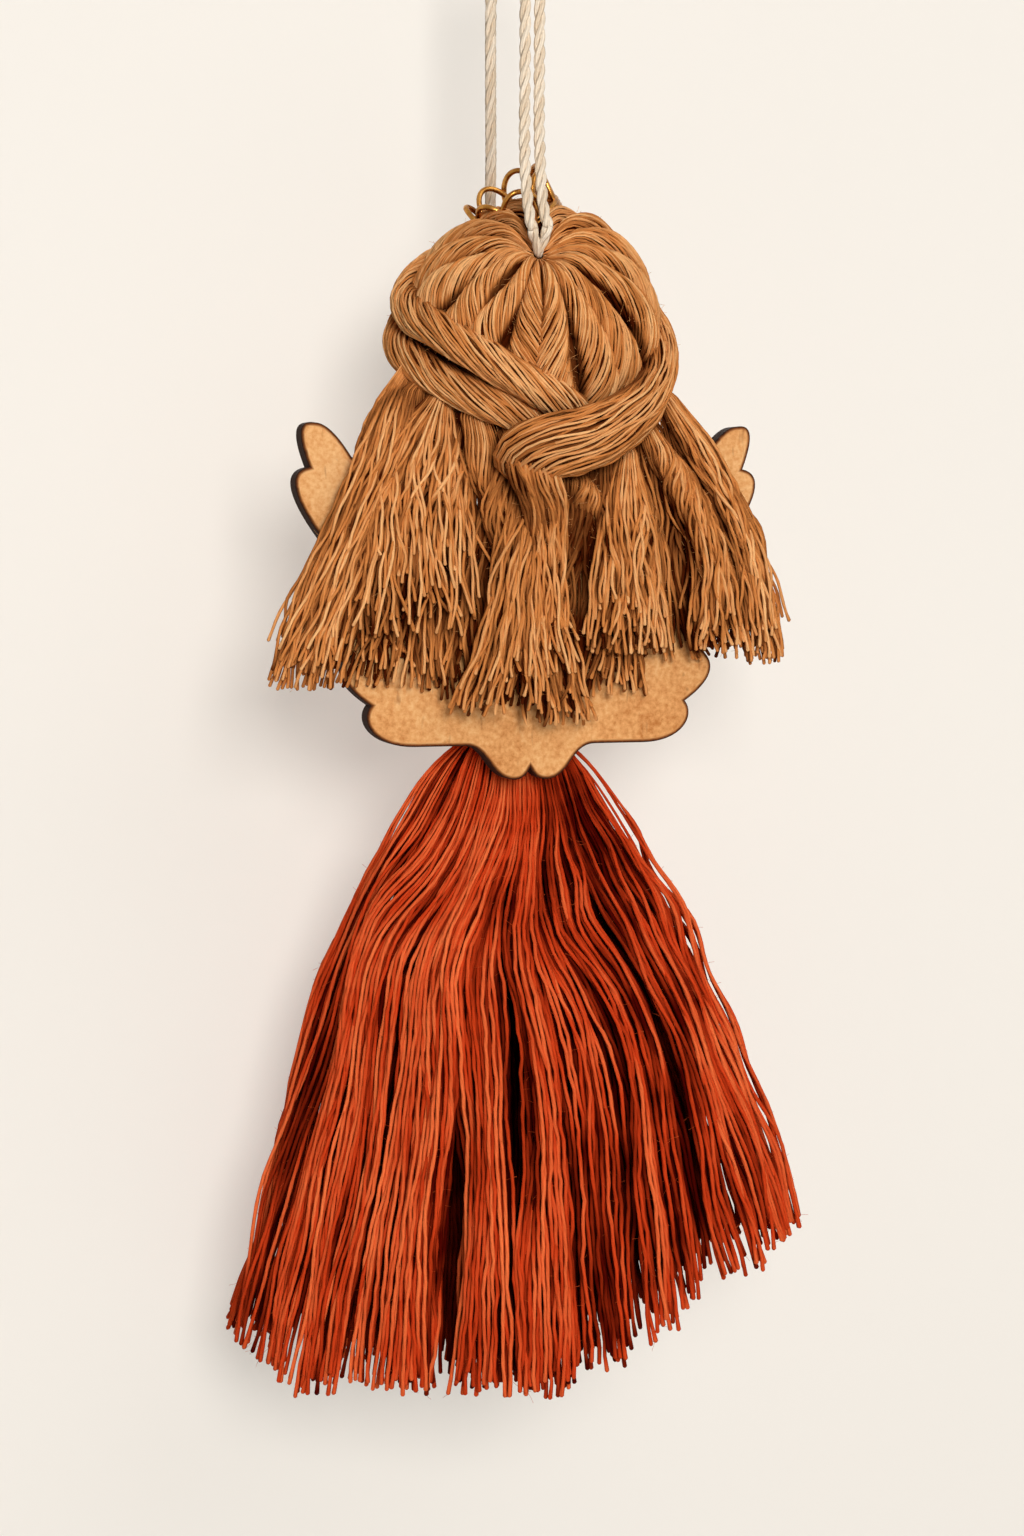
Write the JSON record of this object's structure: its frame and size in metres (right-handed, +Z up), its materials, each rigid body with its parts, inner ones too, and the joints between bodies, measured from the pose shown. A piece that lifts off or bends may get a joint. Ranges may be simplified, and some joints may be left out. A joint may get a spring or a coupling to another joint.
{
  "type": "hanging yarn angel figurine",
  "caption": "Hanging angel figurine with a terracotta yarn skirt, caramel yarn hair, a flat board with wings on its back, a small crown and a doubled hanging cord.",
  "frame": {"origin": "point under the bight of the hanging cord, where a hook carries it", "axes": "+Z up along the hanging cord, the angel's face towards +Y, its wings on the -Y side, +X to the right seen from behind"},
  "size_m": [0.0766, 0.056, 0.1926],
  "materials": {
    "terracotta_yarn": "matt twisted cotton yarn",
    "caramel_yarn": "matt twisted cotton yarn",
    "cream_cotton": "matt twisted cotton cord",
    "raw_mdf": "raw laser-cut fibreboard with burnt edges",
    "bead_wood": "smooth raw wood",
    "gold_metal": "polished gold colour",
    "glue": "amber hot glue"
  },
  "bodies": {
    "hanger": {"hanging_cord_near": "cream_cotton", "hanging_cord_far": "cream_cotton"},
    "figure": {"hair_tie_knot": "cream_cotton", "head_bead": "bead_wood", "head_core_cord": "cream_cotton", "crown": "gold_metal", "hair_cap_cord_01": "caramel_yarn", "hair_cap_cord_02": "caramel_yarn", "hair_cap_cord_03": "caramel_yarn", "hair_cap_cord_04": "caramel_yarn", "hair_cap_cord_05": "caramel_yarn", "hair_cap_cord_06": "caramel_yarn", "hair_cap_cord_07": "caramel_yarn", "hair_cap_cord_08": "caramel_yarn", "hair_cap_cord_09": "caramel_yarn", "hair_cap_cord_10": "caramel_yarn", "hair_cap_cord_11": "caramel_yarn", "hair_cap_cord_12": "caramel_yarn", "hair_cap_cord_13": "caramel_yarn", "hair_cap_cord_14": "caramel_yarn", "hair_cap_cord_15": "caramel_yarn", "hair_cap_cord_16": "caramel_yarn", "hair_rope_left_upper": "caramel_yarn", "hair_rope_left_lower": "caramel_yarn", "hair_wrap_right": "caramel_yarn", "wing_board": "raw_mdf", "wing_glue": "glue", "bodice": "terracotta_yarn", "neck_binding": "cream_cotton", "waist_binding": "cream_cotton"},
    "hair_left": {"hair_lock_left_outer": "caramel_yarn", "hair_lock_left_inner": "caramel_yarn"},
    "hair_centre": {"hair_lock_centre_left": "caramel_yarn", "hair_lock_centre": "caramel_yarn"},
    "hair_right": {"hair_lock_right_inner": "caramel_yarn", "hair_lock_right_middle": "caramel_yarn", "hair_lock_right_outer": "caramel_yarn"},
    "waist": {"waist_core": "terracotta_yarn"},
    "skirt": {"skirt_lock_01": "terracotta_yarn", "skirt_lock_02": "terracotta_yarn", "skirt_lock_03": "terracotta_yarn", "skirt_lock_04": "terracotta_yarn", "skirt_lock_05": "terracotta_yarn", "skirt_lock_06": "terracotta_yarn", "skirt_lock_07": "terracotta_yarn", "skirt_lock_08": "terracotta_yarn", "skirt_lock_09": "terracotta_yarn", "skirt_lock_10": "terracotta_yarn", "skirt_lock_11": "terracotta_yarn", "skirt_lock_12": "terracotta_yarn"}
  },
  "joints": [
    {"name": "loop_swing", "type": "hinge", "parent": "hanger", "child": "figure", "pos_m": [-0.0015, -0.005, -0.0404], "axis": [0.0283, 0.9943, 0.1025], "range_deg": [-28, 28]},
    {"name": "hair_left_lift", "type": "hinge", "parent": "figure", "child": "hair_left", "pos_m": [-0.02, -0.0091, -0.0675], "axis": [-1, 0, 0], "range_deg": [0, 40]},
    {"name": "hair_centre_lift", "type": "hinge", "parent": "figure", "child": "hair_centre", "pos_m": [-0.002, -0.011, -0.0735], "axis": [-1, 0, 0], "range_deg": [0, 35]},
    {"name": "hair_right_lift", "type": "hinge", "parent": "figure", "child": "hair_right", "pos_m": [0.016, -0.0091, -0.0675], "axis": [-1, 0, 0], "range_deg": [0, 40]},
    {"name": "waist_swing", "type": "hinge", "parent": "figure", "child": "waist", "pos_m": [0.0005, 0.0032, -0.1035], "axis": [1, 0, 0], "range_deg": [-10, 30]},
    {"name": "waist_sway", "type": "hinge", "parent": "waist", "child": "skirt", "pos_m": [0.0005, 0.0032, -0.1035], "axis": [0, 1, 0], "range_deg": [-12, 12]}
  ]
}
